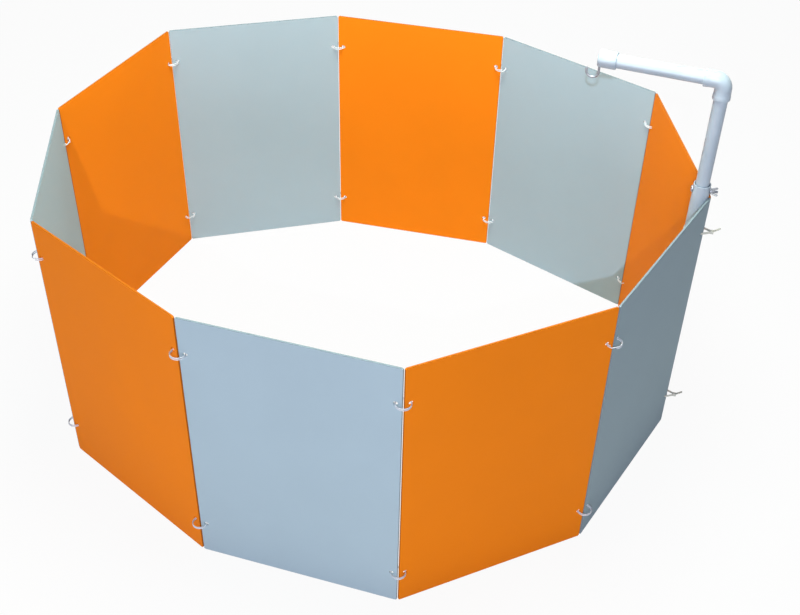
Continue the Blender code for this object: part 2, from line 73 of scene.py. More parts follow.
# Sheets
SHEET_CORNER_RADIUS = 0.004
SHEET_EDGE_ROUNDING = 0.0008
HOLE_RADIUS = 0.0045
HOLE_CHAMFER = 0.0004
HOLE_FROM_CORNER = 0.0134
HOLE_FROM_EDGE = 0.081
CORNER_GAP = 0.0012

# Nylon rings and ties
STRAND_THICKNESS = 0.0020
STRAND_HEIGHT = 0.0019
STRAND_SLACK = 0.02
STRAND_END_SHARES = (0.8, 0.45)
SPLIT_HALF_DEG = 22
SPLIT_TURN_BY_CORNER = 1.9
SPLIT_TURN_BY_LEVEL = 2.6
TIE_THICKNESS = 0.0013
TIE_WIDTH = 0.0048
TIE_HEAD = (0.0066, 0.0076, 0.0060)
TIE_HEAD_REACH = 0.0175
TIE_HEAD_ROUNDING = 0.0007
TIE_LEAD_SHARE = 0.12
TIE_TAIL_LENGTH = 0.0188
TIE_TAIL_RISE_DEG = 36
TIE_RIB_PITCH = 0.0011
TIE_RIB_HEIGHT = 0.00022
FIT = 0.0003

# Pipes and fittings
TUBE_WALL = 0.00165
PIPE_WALL = 0.0016
FITTING_WALL = 0.0031
SOCKET_DEPTH = 0.022
SOCKET_FLARE = 0.0008
BEND_RADIUS = 0.0165
BEND_STEPS = 12
MOUTH_BAND = 0.007
CAP_END_WALL = 0.004
CAP_DOME = 0.0007
CAP_EDGE_RADIUS = 0.004
HOOK_WIRE = 0.0046
HOOK_FROM_CAP_END = 0.0042
HOOK_DROP = 0.0295
HOOK_TIP_RISE = 0.008

# Clamp
BOLT_RADIUS = 0.003
THREAD_PITCH = 0.001
THREAD_DEPTH = 0.0004
DRIVE_RADIUS = 0.0024
DRIVE_DEPTH = 0.0018
NUT_LENGTH = 0.0062
NUT_FLANGE_HEIGHT = 0.0022
NUT_EDGE = 0.0004
WING_RISE = 0.0135
WING_WIDTH = 0.0048
WING_THICKNESS = 0.0021
WING_TURN_DEG = -80

# Camera, fitted to the photograph's lines. It stands this far from the closing corner.
CAMERA_FROM_CORNER = (-0.6005, -1.9429, 1.9203)
CAMERA_PITCH_DEG = 39.679
CAMERA_ROLL_DEG = 1.517
LENS_MM = 53.73
SENSOR_MM = 36.0


def deselect():
    if bpy.context.mode != "OBJECT":
        bpy.ops.object.mode_set(mode="OBJECT")
    bpy.ops.object.select_all(action="DESELECT")


def add(primitive, name, **sizes):
    """Adds a primitive in an empty selection, with its place and scale in its mesh."""
    deselect()
    getattr(bpy.ops.mesh, f"primitive_{primitive}_add")(**sizes)
    piece = bpy.context.object
    piece.name = name
    bpy.ops.object.transform_apply(location=True, rotation=True, scale=True)
    return piece


def work_on(piece, mode="OBJECT"):
    deselect()
    piece.select_set(True)
    bpy.context.view_layer.objects.active = piece
    if mode != "OBJECT":
        bpy.ops.object.mode_set(mode=mode)


def pick(kind, test):
    """In edit mode, selects the verts, edges or faces that pass a test, and nothing else."""
    bpy.ops.mesh.select_mode(type={"verts": "VERT", "edges": "EDGE", "faces": "FACE"}[kind])
    bpy.ops.mesh.select_all(action="DESELECT")
    mesh = bpy.context.object.data
    shape = bmesh.from_edit_mesh(mesh)
    shape.normal_update()
    for item in getattr(shape, kind):
        if test(item):
            item.select_set(True)
    shape.select_flush_mode()
    bmesh.update_edit_mesh(mesh)


def pick_all():
    bpy.ops.mesh.select_mode(type="VERT")
    bpy.ops.mesh.select_all(action="SELECT")


def close_up(piece, merge=1e-6):
    """Merges doubles and turns all faces outwards."""
    work_on(piece, "EDIT")
    pick_all()
    bpy.ops.mesh.remove_doubles(threshold=merge)
    bpy.ops.mesh.normals_make_consistent(inside=False)
    deselect()
    return piece


def smooth(piece, sharp_deg=32):
    work_on(piece)
    bpy.ops.object.shade_smooth_by_angle(angle=math.radians(sharp_deg))
    return piece


def even_normals(piece, sharp_deg=50):
    """Smooth shading that leaves the large flat faces flat."""
    smooth(piece, sharp_deg)
    modifier = piece.modifiers.new("even_normals", "WEIGHTED_NORMAL")
    modifier.keep_sharp = True
    bpy.ops.object.modifier_apply(modifier=modifier.name)
    return piece


def boolean(piece, tool, operation):
    work_on(piece)
    modifier = piece.modifiers.new("shape", "BOOLEAN")
    modifier.operation = operation
    modifier.object = tool
    modifier.solver = "EXACT"
    bpy.ops.object.modifier_apply(modifier=modifier.name)
    bpy.data.objects.remove(tool, do_unlink=True)
    return piece


def moved(piece, matrix):
    piece.data.transform(matrix)
    return piece


def turned(name, stations, sides=96):
    """A solid of revolution about Z: a ring of edges drawn on along (radius, height) stations.

    A first or last radius of 0 closes that end. Otherwise the last station is the first.
    """
    closed_start = stations[0][0] == 0
    first = stations[1] if closed_start else stations[0]
    fill = "TRIFAN" if closed_start else "NOTHING"
    start = {"radius": first[0], "location": (0, 0, first[1])}
    piece = add("circle", name, vertices=sides, fill_type=fill, **start)
    work_on(piece, "EDIT")
    if closed_start:
        pick("verts", lambda v: v.co.xy.length < first[0] / 2)
        bpy.ops.transform.translate(value=(0, 0, stations[0][1] - first[1]))
        pick("edges", lambda e: e.is_boundary)
    else:
        pick("edges", lambda e: True)
    at = first
    for radius, height in stations[2 if closed_start else 1:]:
        bpy.ops.mesh.extrude_edges_move(TRANSFORM_OT_translate={"value": (0, 0, height - at[1])})
        if radius == 0:
            bpy.ops.mesh.merge(type="CENTER")
            break
        scale = radius / at[0]
        bpy.ops.transform.resize(value=(scale, scale, 1), center_override=(0, 0, 0))
        at = (radius, height)
    return close_up(piece)


def arc(radius, start_deg, end_deg, count, centre=(0, 0)):
    """Points on an arc, both ends included."""
    found = []
    for step in range(count):
        angle = math.radians(start_deg + (end_deg - start_deg) * step / (count - 1))
        found.append((centre[0] + radius * math.cos(angle), centre[1] + radius * math.sin(angle)))
    return found


def swept(name, path, radius, taper=(), lead=()):
    """A round wire along a path. Its first and last points take shares of the radius."""
    curve = bpy.data.curves.new(name, "CURVE")
    curve.dimensions = "3D"
    curve.bevel_depth = radius
    curve.bevel_resolution = 6
    curve.use_fill_caps = True
    spline = curve.splines.new("POLY")
    spline.points.add(len(path) - 1)
    shares = list(lead) + [1] * (len(path) - len(taper) - len(lead)) + list(taper)
    for point, at, share in zip(spline.points, path, shares):
        point.co = (*at, 1)
        point.radius = share
    piece = bpy.data.objects.new(name, curve)
    bpy.context.scene.collection.objects.link(piece)
    work_on(piece)
    bpy.ops.object.convert(target="MESH")
    return close_up(bpy.context.object)


def ribbon(name, path, width, thickness):
    """A flat band on edge: it follows a path in plan, its width is along Z."""
    curve = bpy.data.curves.new(name, "CURVE")
    curve.dimensions = "3D"
    curve.extrude = width / 2
    spline = curve.splines.new("POLY")
    spline.points.add(len(path) - 1)
    for point, at in zip(spline.points, path):
        point.co = (at[0], at[1], 0, 1)
    piece = bpy.data.objects.new(name, curve)
    bpy.context.scene.collection.objects.link(piece)
    work_on(piece)
    bpy.ops.object.convert(target="MESH")
    piece = bpy.context.object
    wall = piece.modifiers.new("wall", "SOLIDIFY")
    wall.thickness = thickness
    wall.offset = 0
    wall.use_even_offset = True
    bpy.ops.object.modifier_apply(modifier=wall.name)
    round_off = piece.modifiers.new("round_off", "BEVEL")
    round_off.width = thickness / 4
    round_off.segments = 2
    round_off.limit_method = "ANGLE"
    round_off.angle_limit = math.radians(60)
    bpy.ops.object.modifier_apply(modifier=round_off.name)
    return close_up(piece)


# --- What the frame says ---------------------------------------------------------------


def points_of(node):
    mesh = frame["nodes"][node].data
    found = np.empty(len(mesh.vertices) * 3)
    mesh.vertices.foreach_get("co", found)
    return found.reshape(-1, 3)


def local_box(node, matrix):
    """A CAD node's lowest and highest corner in a frame of its own."""
    turn = np.array(matrix.inverted())
    points = points_of(node) @ turn[:3, :3].T + turn[:3, 3]
    return Vector(points.min(0)), Vector(points.max(0))


def centre_of(node):
    low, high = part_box(node)
    return (low + high) / 2


def joint(name):
    return next(j for j in frame["joints"] if j["name"] == name)


def axes_at(origin, x_axis, z_axis):
    """A frame with its origin, X and Z given."""
    x_axis, z_axis = Vector(x_axis).normalized(), Vector(z_axis).normalized()
    y_axis = z_axis.cross(x_axis)
    turn = Matrix((x_axis, y_axis, z_axis)).transposed()
    return Matrix.Translation(origin) @ turn.to_4x4()


def sheet_place(node):
    """A sheet's frame: the middle of its bottom edge, X along it, Y out of the corral."""
    middle = centre_of(node)
    points = points_of(node)[:, :2] - np.array(middle.xy)
    along = Vector(np.linalg.svd(points, full_matrices=False)[2][0])
    if along.cross(middle.xy) < 0:
        along = -along
    return axes_at((middle.x, middle.y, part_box(node)[0].z), (*along, 0), (0, 0, 1))


def crossing(first, second):
    """Where the middle planes of two sheets meet, in plan."""
    a, b = first.translation.xy, second.translation.xy
    u, v = first.col[0].xy, second.col[0].xy
    return a + u * ((b - a).cross(v) / u.cross(v))


sheet_places = [sheet_place(f"panel_{index:02d}") for index in range(1, PANEL_COUNT + 1)]
closing_corner = crossing(sheet_places[0], sheet_places[-1])
sheet_low, sheet_high = local_box("panel_01", sheet_places[0])
SHEET_WIDTH, SHEET_THICKNESS, SHEET_HEIGHT = sheet_high - sheet_low

post = Vector(joint("post_height")["pos_m"])
outward = Vector(joint("wing_nut_turn")["axis"])
bolt_place = axes_at((post.x, post.y, centre_of("clamp_washer").z), (0, 0, -1), outward)
arm_middle = centre_of("stand_arm")
arm_way = Vector((arm_middle.x - post.x, arm_middle.y - post.y, 0))
arm_place = axes_at((post.x, post.y, arm_middle.z), arm_way, (0, 0, 1))
post_place = Matrix.Translation((post.x, post.y, 0))
tie_turn = axes_at((closing_corner.x, closing_corner.y, 0), outward, (0, 0, 1))
out_along_arm = arm_place @ Matrix.Rotation(math.pi / 2, 4, "Y")


# --- Materials -------------------------------------------------------------------------


class Value:
    """A node's output. Arithmetic on it adds Math nodes."""

    def __init__(self, nodes, socket):
        self.nodes = nodes
        self.socket = socket

    def math(self, operation, first, second=0.0):
        return self.nodes.node("Math", {"operation": operation}, {0: first, 1: second})

    def __add__(self, other):
        return self.math("ADD", self, other)

    __radd__ = __add__

    def __sub__(self, other):
        return self.math("SUBTRACT", self, other)

    def __rsub__(self, other):
        return self.math("SUBTRACT", other, self)

    def __mul__(self, other):
        return self.math("MULTIPLY", self, other)

    __rmul__ = __mul__

    def least(self, other):
        return self.math("MINIMUM", self, other)

    def size(self):
        return self.math("ABSOLUTE", self)


class Nodes:
    """A material's or the world's nodes, and what adds to them."""

    def __init__(self, tree):
        self.tree = tree

    def node(self, kind, settings, values, output=0):
        """Adds a node: its settings first, then its sockets' values or links."""
        made = self.tree.nodes.new("ShaderNode" + kind)
        for key, value in settings.items():
            setattr(made, key, value)
        for key, value in values.items():
            if isinstance(value, Value):
                self.tree.links.new(value.socket, made.inputs[key])
            else:
                made.inputs[key].default_value = value
        return Value(self, made.outputs[output])

    def seen_directly(self):
        """1 for what the camera, a mirror or glass sees, and 0 for light on its way."""
        camera, mirror, glass = (self.node("LightPath", {}, {}, f"Is {name} Ray") for name in
                                 ("Camera", "Glossy", "Transmission"))
        return camera + mirror + glass


class Finish(Nodes):
    """A material."""

    def __init__(self, name, roughness, metallic=0.0, **fixed):
        self.material = bpy.data.materials.new(name)
        self.material.use_nodes = True
        super().__init__(self.material.node_tree)
        self.shader = self.tree.nodes["Principled BSDF"]
        for key, value in {"Roughness": roughness, "Metallic": metallic, **fixed}.items():
            self.shader.inputs[key].default_value = value

    def made_at(self):
        """The piece's own coordinates, in metres."""
        return self.node("Attribute", {"attribute_name": "made_at"}, {}, "Vector")

    def places(self):
        return self.node("TexCoord", {}, {}, "Object")

    def split(self, vector, axis):
        return self.node("SeparateXYZ", {}, {"Vector": vector}, axis)

    def noise(self, vector, scale, detail=2.0, rough=0.5):
        values = {"Vector": vector, "Scale": scale, "Detail": detail, "Roughness": rough}
        return self.node("TexNoise", {}, values, "Fac")

    def stretched(self, vector, scale):
        return self.node("Mapping", {}, {"Vector": vector, "Scale": scale})

    def ramp(self, value, low, high):
        """0 below low, 1 above high, smooth between."""
        settings = {"interpolation_type": "SMOOTHSTEP"}
        return self.node("MapRange", settings, {"Value": value, "From Min": low, "From Max": high})

    def mix(self, factor, first, second):
        """A colour between two others."""
        return self.node("Mix", {"data_type": "RGBA"}, {0: factor, 6: first, 7: second}, 2)

    def bump(self, height, strength, distance):
        values = {"Strength": strength, "Distance": distance, "Height": height}
        return self.node("Bump", {}, values, "Normal")

    def feed(self, **sockets):
        for name, value in sockets.items():
            self.tree.links.new(value.socket, self.shader.inputs[name.replace("_", " ")])
        return self.material


def srgb(red, green, blue, gain=1.0):
    """The linear colour of an sRGB one given in 0 to 255."""
    found = []
    for share in (red / 255, green / 255, blue / 255):
        linear = share / 12.92 if share <= 0.04045 else ((share + 0.055) / 1.055) ** 2.4
        found.append(min(linear * gain, 1.0))
    return (*found, 1.0)


def sheet_finish(name, colour, pale):
    """Extruded sheet: a fine haircell grain, cloudy colour, painted shade darkening the rim and cut
    edges, and light rubs.
    """
    finish = Finish(name, 0.55, **{"Specular IOR Level": 0.08})
    own, places = finish.made_at(), finish.places()
    across, up = finish.split(own, "X"), finish.split(own, "Z")
    to_side = SHEET_WIDTH / 2 - across.size()
    to_end = SHEET_HEIGHT / 2 - (up - SHEET_HEIGHT / 2).size()
    # Painted shade: the sheet's top, bottom and end faces and a thin strip along each edge are
    # darkened towards 45 percent of its colour.
    rim = 1 - finish.ramp(to_side.least(to_end), 0.0002, 0.0012)
    clouds = finish.noise(places, 5.0, 3.0)
    grain = finish.noise(places, 1500.0, 2.0, 0.6)
    pits = finish.node("TexVoronoi", {}, {"Vector": places, "Scale": 900.0}, "Distance")
    scuffs = finish.noise(finish.stretched(own, (9, 1, 160)), 1.0, 4.0, 0.7)
    rubs = finish.ramp(scuffs, 0.66, 0.80)
    rim_shade_colour = tuple(c * 0.45 for c in colour[:3]) + (1,)
    dark = tuple(c * 0.985 for c in colour[:3]) + (1,)
    light = tuple(min(c * 1.015, 1) for c in colour[:3]) + (1,)
    base = finish.mix(finish.ramp(clouds, 0.3, 0.7), dark, light)
    base = finish.mix(rubs * 0.05, base, pale)
    # Painted shade laid on the rim.
    base = finish.mix(rim * 0.80, base, rim_shade_colour)
    rough = 0.52 + clouds * 0.08 + grain * 0.06 + rubs * 0.08
    height = grain * 0.5 + pits * 0.5 - rubs * 0.2
    return finish.feed(Base_Color=base, Roughness=rough, Normal=finish.bump(height, 0.30, 0.00012))


def nylon_finish(name, dark, light):
    """Moulded nylon: milky, with a faint flow pattern and a soft shine."""
    finish = Finish(name, 0.34)
    own, places = finish.made_at(), finish.places()
    flow = finish.noise(finish.stretched(own, (60, 60, 400)), 1.0, 3.0)
    speck = finish.noise(places, 2600.0, 1.0)
    base = finish.mix(finish.ramp(flow, 0.25, 0.75), dark, light)
    rough = 0.28 + flow * 0.10 + speck * 0.05
    return finish.feed(Base_Color=base, Roughness=rough, Normal=finish.bump(speck, 0.15, 0.00005))


def pvc_finish(name, scratch_axis):
    """Drawn pipe or moulded fitting: bright, with fine lines along it, faint rubs and a shine."""
    finish = Finish(name, 0.30)
    own, places = finish.made_at(), finish.places()
    along = {"pipe": (420, 420, 3), "fitting": (160, 160, 160)}[scratch_axis]
    lines = finish.noise(finish.stretched(own, along), 1.0, 3.0, 0.6)
    clouds = finish.noise(places, 14.0, 3.0)
    scuffs = finish.noise(finish.stretched(own, (30, 30, 700)), 1.0, 3.0, 0.7)
    rubs = finish.ramp(scuffs, 0.68, 0.80)
    base = finish.mix(finish.ramp(clouds, 0.3, 0.7), srgb(162, 178, 189), srgb(170, 186, 197))
    base = finish.mix(rubs * 0.12, base, srgb(140, 152, 162))
    rough = 0.24 + lines * 0.10 + clouds * 0.06 + rubs * 0.12
    height = lines * 0.6 - rubs * 0.4
    return finish.feed(Base_Color=base, Roughness=rough, Normal=finish.bump(height, 0.20, 0.00006))


def steel_finish(name, dark, light, gloss):
    """Zinc-plated steel: crystalline mottling, fine rubbing and a muted bright shine."""
    finish = Finish(name, gloss, 1.0)
    own, places = finish.made_at(), finish.places()
    cells = finish.node("TexVoronoi", {}, {"Vector": places, "Scale": 1200.0}, "Distance")
    clouds = finish.noise(places, 220.0, 3.0)
    lines = finish.noise(finish.stretched(own, (500, 500, 60)), 1.0, 2.0)
    base = finish.mix(finish.ramp(clouds, 0.25, 0.75), dark, light)
    rough = gloss + clouds * 0.16 + lines * 0.10
    height = cells * 0.4 + lines * 0.6
    return finish.feed(Base_Color=base, Roughness=rough, Normal=finish.bump(height, 0.20, 0.00006))


ORANGE = sheet_finish("orange_sheet_finish", srgb(233, 127, 15), srgb(246, 196, 140))
GREY = sheet_finish("grey_sheet_finish", srgb(160, 181, 189), srgb(222, 230, 238))
NYLON = nylon_finish("white_nylon_finish", srgb(200, 208, 214), srgb(216, 223, 228))
# Painted shade: the ties' nylon is the white nylon darkened to an olive grey, the look of the ties
# in shade at the closing corner.
SHADED_TIE_NYLON = nylon_finish("natural_nylon_finish", srgb(178, 180, 166), srgb(202, 204, 192))
PIPE = pvc_finish("white_pipe_finish", "pipe")
FITTING = pvc_finish("white_fitting_finish", "fitting")
WIRE = steel_finish("zinc_wire_finish", (0.24, 0.26, 0.29, 1), (0.38, 0.40, 0.44, 1), 0.50)
STEEL = steel_finish("zinc_steel_finish", (0.26, 0.28, 0.32, 1), (0.44, 0.46, 0.50, 1), 0.22)


def settle(piece, name, matrix, node, material, slot):
    """Names a finished piece, keeps its own coordinates, and puts it in a node's place."""
    piece.name = name
    mesh = piece.data
    mesh.name = name
    own = np.empty(len(mesh.vertices) * 3, np.float32)
    mesh.vertices.foreach_get("co", own)
    mesh.attributes.new("made_at", "FLOAT_VECTOR", "POINT").data.foreach_set("vector", own)
    mesh.transform(matrix)
    mesh.materials.clear()
    mesh.materials.append(material)
    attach(piece, frame["nodes"][node]["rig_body"])
    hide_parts(node)
    return piece


def copied(piece):
    twin = piece.copy()
    twin.data = piece.data.copy()
    bpy.context.scene.collection.objects.link(twin)
    return twin


# --- Sheets ----------------------------------------------------------------------------


def model_sheet():
    """A cut sheet: round corners, a rounded rim and four chamfered holes."""
    size = (SHEET_WIDTH, SHEET_THICKNESS, SHEET_HEIGHT)
    sheet = add("cube", "sheet", size=1, scale=size, location=(0, 0, SHEET_HEIGHT / 2))
    work_on(sheet, "EDIT")
    pick("edges", lambda e: abs((e.verts[0].co - e.verts[1].co).y) > SHEET_THICKNESS / 2)
    bpy.ops.mesh.bevel(offset=SHEET_CORNER_RADIUS, segments=8, affect="EDGES")
    pick("edges", lambda e: sum(abs(f.normal.y) > 0.9 for f in e.link_faces) == 1)
    bpy.ops.mesh.bevel(offset=SHEET_EDGE_ROUNDING, segments=3, affect="EDGES")
    deselect()
    half, flare = SHEET_THICKNESS / 2, HOLE_RADIUS + 2 * HOLE_CHAMFER
    drill = [
        (0, half + HOLE_CHAMFER),
        (flare, half + HOLE_CHAMFER),
        (HOLE_RADIUS, half - HOLE_CHAMFER),
        (HOLE_RADIUS, HOLE_CHAMFER - half),
        (flare, -half - HOLE_CHAMFER),
        (0, -half - HOLE_CHAMFER),
    ]
    from_middle = SHEET_WIDTH / 2 + CORNER_GAP - HOLE_FROM_CORNER
    for x in (-from_middle, from_middle):
        for z in (HOLE_FROM_EDGE, SHEET_HEIGHT - HOLE_FROM_EDGE):
            at = Matrix.Translation((x, 0, z)) @ Matrix.Rotation(math.pi / 2, 4, "X")
            boolean(sheet, moved(turned("drill", drill, 40), at), "DIFFERENCE")
    return even_normals(close_up(sheet))


def make_sheets():
    master = model_sheet()
    for index, place in enumerate(sheet_places, 1):
        look = (ORANGE, "orange_sheet") if index % 2 == 0 else (GREY, "grey_sheet")
        settle(copied(master), f"sheet_{index:02d}", place, f"panel_{index:02d}", *look)
    bpy.data.objects.remove(master, do_unlink=True)


# --- Nylon rings and ties --------------------------------------------------------------


def model_ring():
    """A split ring: two turns of nylon strand side by side, with a step from one to the other."""
    low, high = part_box("hinge_ring_1_lower")
    radius = (high.x - low.x) / 2 - STRAND_THICKNESS / 2
    level = (high.z - low.z - STRAND_HEIGHT) / 2
    squash = STRAND_THICKNESS / STRAND_HEIGHT
    path = []
    for angle in range(SPLIT_HALF_DEG, 721 - SPLIT_HALF_DEG, 4):
        step = max(-1.0, min(1.0, (angle - 360) / SPLIT_HALF_DEG))
        rise = level * math.sin(math.pi / 2 * step) * squash
        turn = math.radians(angle)
        out = radius * (1 - STRAND_SLACK * math.sin(turn / 4) ** 2)
        path.append((out * math.cos(turn), out * math.sin(turn), rise))
    ends = STRAND_END_SHARES
    ring = swept("ring", path, STRAND_THICKNESS / 2, ends, ends[::-1])
    work_on(ring, "EDIT")
    pick_all()
    bpy.ops.transform.resize(value=(1, 1, 1 / squash), center_override=(0, 0, 0))
    deselect()
    return smooth(ring, 60)


def make_rings():
    master = model_ring()
    for index in range(1, PANEL_COUNT):
        for storey, level in enumerate(LEVELS):
            node = f"hinge_ring_{index}_{level}"
            turn = index * SPLIT_TURN_BY_CORNER + storey * SPLIT_TURN_BY_LEVEL
            at = Matrix.Translation(centre_of(node)) @ Matrix.Rotation(turn, 4, "Z")
            settle(copied(master), f"ring_{index}_{level}", at, node, NYLON, "white_nylon")
    bpy.data.objects.remove(master, do_unlink=True)


def tie_path():
    """The strap in plan, X outward from the corner: head, hole, round the tube, and back."""
    tube = Vector(((post.xy - closing_corner).dot(outward.xy), 0))
    tube_low, tube_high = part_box("stand_outer_tube")
    wrap = (tube_high.x - tube_low.x) / 2 + FIT + TIE_THICKNESS / 2
    heading = sheet_places[0].col[0].xy
    away = outward.xy.angle(heading if heading.dot(post.xy - closing_corner) > 0 else -heading)
    hole = HOLE_FROM_CORNER * Vector((math.cos(away), math.sin(away)))
    to_hole = hole - tube
    touch = math.degrees(math.atan2(to_hole.y, to_hole.x) + math.acos(wrap / to_hole.length))
    mouth = Vector((TIE_HEAD_REACH, TIE_THICKNESS))
    half = [mouth, mouth.lerp(hole, TIE_LEAD_SHARE), mouth.lerp(hole, 0.5), hole]
    half += [Vector(p) for p in arc(wrap, touch, 180, 25, tube)]
    return half + [Vector((p.x, -p.y)) for p in half[-2::-1]]


def model_tie():
    """The strap's loop, its moulded head, and the ribbed tail, cut square."""
    strap = ribbon("tie", tie_path(), TIE_WIDTH, TIE_THICKNESS)
    head = add("cube", "tie_head", size=1, scale=TIE_HEAD, location=(TIE_HEAD_REACH, 0, 0))
    work_on(head, "EDIT")
    pick("edges", lambda e: True)
    bpy.ops.mesh.bevel(offset=TIE_HEAD_ROUNDING, segments=3, affect="EDGES")
    deselect()
    boolean(strap, head, "UNION")
    tail_size = (TIE_TAIL_LENGTH, TIE_WIDTH, TIE_THICKNESS)
    tail = add("cube", "tie_tail", size=1, scale=tail_size, location=(TIE_TAIL_LENGTH / 2, 0, 0))
    ribs = round(TIE_TAIL_LENGTH / TIE_RIB_PITCH)
    work_on(tail, "EDIT")
    pick("edges", lambda e: abs((e.verts[0].co - e.verts[1].co).x) > TIE_TAIL_LENGTH / 2)
    bpy.ops.mesh.subdivide(number_cuts=ribs - 1)
    pick("faces", lambda f: f.normal.z > 0.9)
    bpy.ops.mesh.inset(thickness=TIE_RIB_PITCH / 5, use_individual=True)
    bpy.ops.transform.translate(value=(0, 0, TIE_RIB_HEIGHT))
    deselect()
    rise = Matrix.Rotation(-math.radians(TIE_TAIL_RISE_DEG), 4, "Y")
    moved(tail, Matrix.Translation((TIE_HEAD_REACH, 0, 0)) @ rise)
    boolean(strap, close_up(tail), "UNION")
    return smooth(close_up(strap), 40)


def make_ties():
    master = model_tie()
    for level in LEVELS:
        node = f"closure_tie_{level}"
        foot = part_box(node)[0].z
        at = Matrix.Translation((0, 0, foot + TIE_HEAD[2] / 2)) @ tie_turn
        # The ties take the nylon darkened with painted shade.
        settle(copied(master), f"tie_{level}", at, node, SHADED_TIE_NYLON, "white_nylon")
    bpy.data.objects.remove(master, do_unlink=True)


# --- The stand -------------------------------------------------------------------------


def open_pipe(name, outer, wall, low, high):
    """A sawn pipe with its edges broken inside and out."""
    inner, edge = outer - wall, wall / 4
    stations = [
        (inner + edge, low),
        (outer - edge, low),
        (outer, low + edge),
        (outer, high - edge),
        (outer - edge, high),
        (inner + edge, high),
        (inner, high - edge),
        (inner, low + edge),
        (inner + edge, low),
    ]
    return turned(name, stations)


def half_width(node):
    low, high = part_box(node)
    return (high.x - low.x) / 2


TUBE_RADIUS = half_width("stand_outer_tube")
PIPE_RADIUS = half_width("stand_inner_pipe")
PIPE_BORE = PIPE_RADIUS - PIPE_WALL
SOCKET_RADIUS = PIPE_RADIUS + FIT
FITTING_RADIUS = SOCKET_RADIUS + FITTING_WALL


def make_outer_tube():
    low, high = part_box("stand_outer_tube")
    tube = open_pipe("outer_tube", TUBE_RADIUS, TUBE_WALL, low.z, high.z)
    radius, reach = BOLT_RADIUS + FIT, 2 * TUBE_RADIUS
    drill = turned("drill", [(0, reach), (radius, reach), (radius, -reach), (0, -reach)], 32)
    boolean(tube, moved(drill, post_place.inverted() @ bolt_place), "DIFFERENCE")
    settle(smooth(tube), "outer_tube", post_place, "stand_outer_tube", PIPE, "white_pvc")


def make_inner_pipe():
    """The sliding pipe, with the slot that lets it rise past the bolt."""
    low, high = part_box("stand_inner_pipe")
    pipe = open_pipe("inner_pipe", PIPE_RADIUS, PIPE_WALL, low.z, high.z)
    half = BOLT_RADIUS + FIT
    slot = add("circle", "slot", vertices=32, radius=half, fill_type="NGON")
    work_on(slot, "EDIT")
    pick("verts", lambda v: v.co.x > half / 100)
    bpy.ops.transform.translate(value=(joint("post_height")["range_m"][1], 0, 0))
    pick("faces", lambda f: True)
    bpy.ops.mesh.extrude_region_move(TRANSFORM_OT_translate={"value": (0, 0, 4 * PIPE_RADIUS)})
    deselect()
    moved(slot, Matrix.Translation((0, 0, -2 * PIPE_RADIUS)))
    moved(close_up(slot), post_place.inverted() @ bolt_place)
    boolean(pipe, slot, "DIFFERENCE")
    settle(smooth(pipe), "inner_pipe", post_place, "stand_inner_pipe", PIPE, "white_pvc")


def make_elbow():
    """A short slip elbow: one hollow leg with half of the bend, and its mirror image.

    The outside bends round a wider centre than the bore, so its inner crook is nearly sharp.
    """
    length = local_box("stand_elbow", arm_place)[1].x
    shoulder = length - SOCKET_DEPTH
    lip = FITTING_WALL / 3
    neck = FITTING_RADIUS - SOCKET_FLARE
    leg = turned("elbow", [
        (neck, -BEND_RADIUS),
        (neck, -BEND_RADIUS - FITTING_WALL),
        (neck + SOCKET_FLARE * 0.4, 1.3 * MOUTH_BAND - length),
        (FITTING_RADIUS, MOUTH_BAND - length),
        (FITTING_RADIUS, lip - length),
        (FITTING_RADIUS - lip / 3, lip / 3 - length),
        (FITTING_RADIUS - lip, -length),
        (SOCKET_RADIUS + lip / 2, -length),
        (SOCKET_RADIUS, lip / 2 - length),
        (SOCKET_RADIUS, -shoulder),
        (PIPE_BORE, -shoulder),
    ])
    work_on(leg, "EDIT")
    for bend in (BEND_RADIUS, shoulder):
        pick("edges", lambda e: e.is_boundary and all(abs(v.co.z + bend) < 1e-6 for v in e.verts))
        centre = (bend, 0, -bend)
        bpy.ops.mesh.spin(steps=BEND_STEPS, angle=-math.pi / 4, center=centre, axis=(0, 1, 0))
    deselect()
    other = moved(copied(leg), Matrix(((0, 0, -1, 0), (0, 1, 0, 0), (-1, 0, 0, 0), (0, 0, 0, 1))))
    work_on(leg)
    other.select_set(True)
    bpy.ops.object.join()
    elbow = smooth(close_up(leg, 1e-5))
    settle(elbow, "elbow", arm_place, "stand_elbow", FITTING, "white_pvc")


def make_arm():
    low, high = local_box("stand_arm", arm_place)
    arm = smooth(open_pipe("arm", PIPE_RADIUS, PIPE_WALL, low.x, high.x))
    settle(arm, "arm", out_along_arm, "stand_arm", PIPE, "white_pvc")


def make_end_cap():
    """A slip cap with a low domed end and a rounded rim, drilled from below for the hook."""
    low, high = local_box("stand_end_cap", arm_place)
    mouth, end = low.x, high.x
    lip = FITTING_WALL / 3
    rim = (FITTING_RADIUS - CAP_EDGE_RADIUS, end - CAP_DOME - CAP_EDGE_RADIUS)
    stations = [(0, end), (rim[0] * 0.55, end - CAP_DOME * 0.25)]
    stations += arc(CAP_EDGE_RADIUS, 90, 0, 12, rim) + [
        (FITTING_RADIUS, mouth + lip),
        (FITTING_RADIUS - lip / 3, mouth + lip / 3),
        (FITTING_RADIUS - lip, mouth),
        (SOCKET_RADIUS + lip / 2, mouth),
        (SOCKET_RADIUS, mouth + lip / 2),
        (SOCKET_RADIUS, end - CAP_END_WALL),
        (0, end - CAP_END_WALL),
    ]
    cap = turned("end_cap", stations)
    radius = HOOK_WIRE / 2 + FIT
    reach = 2 * FITTING_RADIUS
    drill = turned("drill", [(0, 0), (radius, 0), (radius, -reach), (0, -reach)], 32)
    at = Matrix.Translation((end - HOOK_FROM_CAP_END, 0, 0))
    boolean(cap, moved(drill, Matrix.Rotation(-math.pi / 2, 4, "Y") @ at), "DIFFERENCE")
    settle(smooth(cap), "end_cap", out_along_arm, "stand_end_cap", FITTING, "white_pvc")


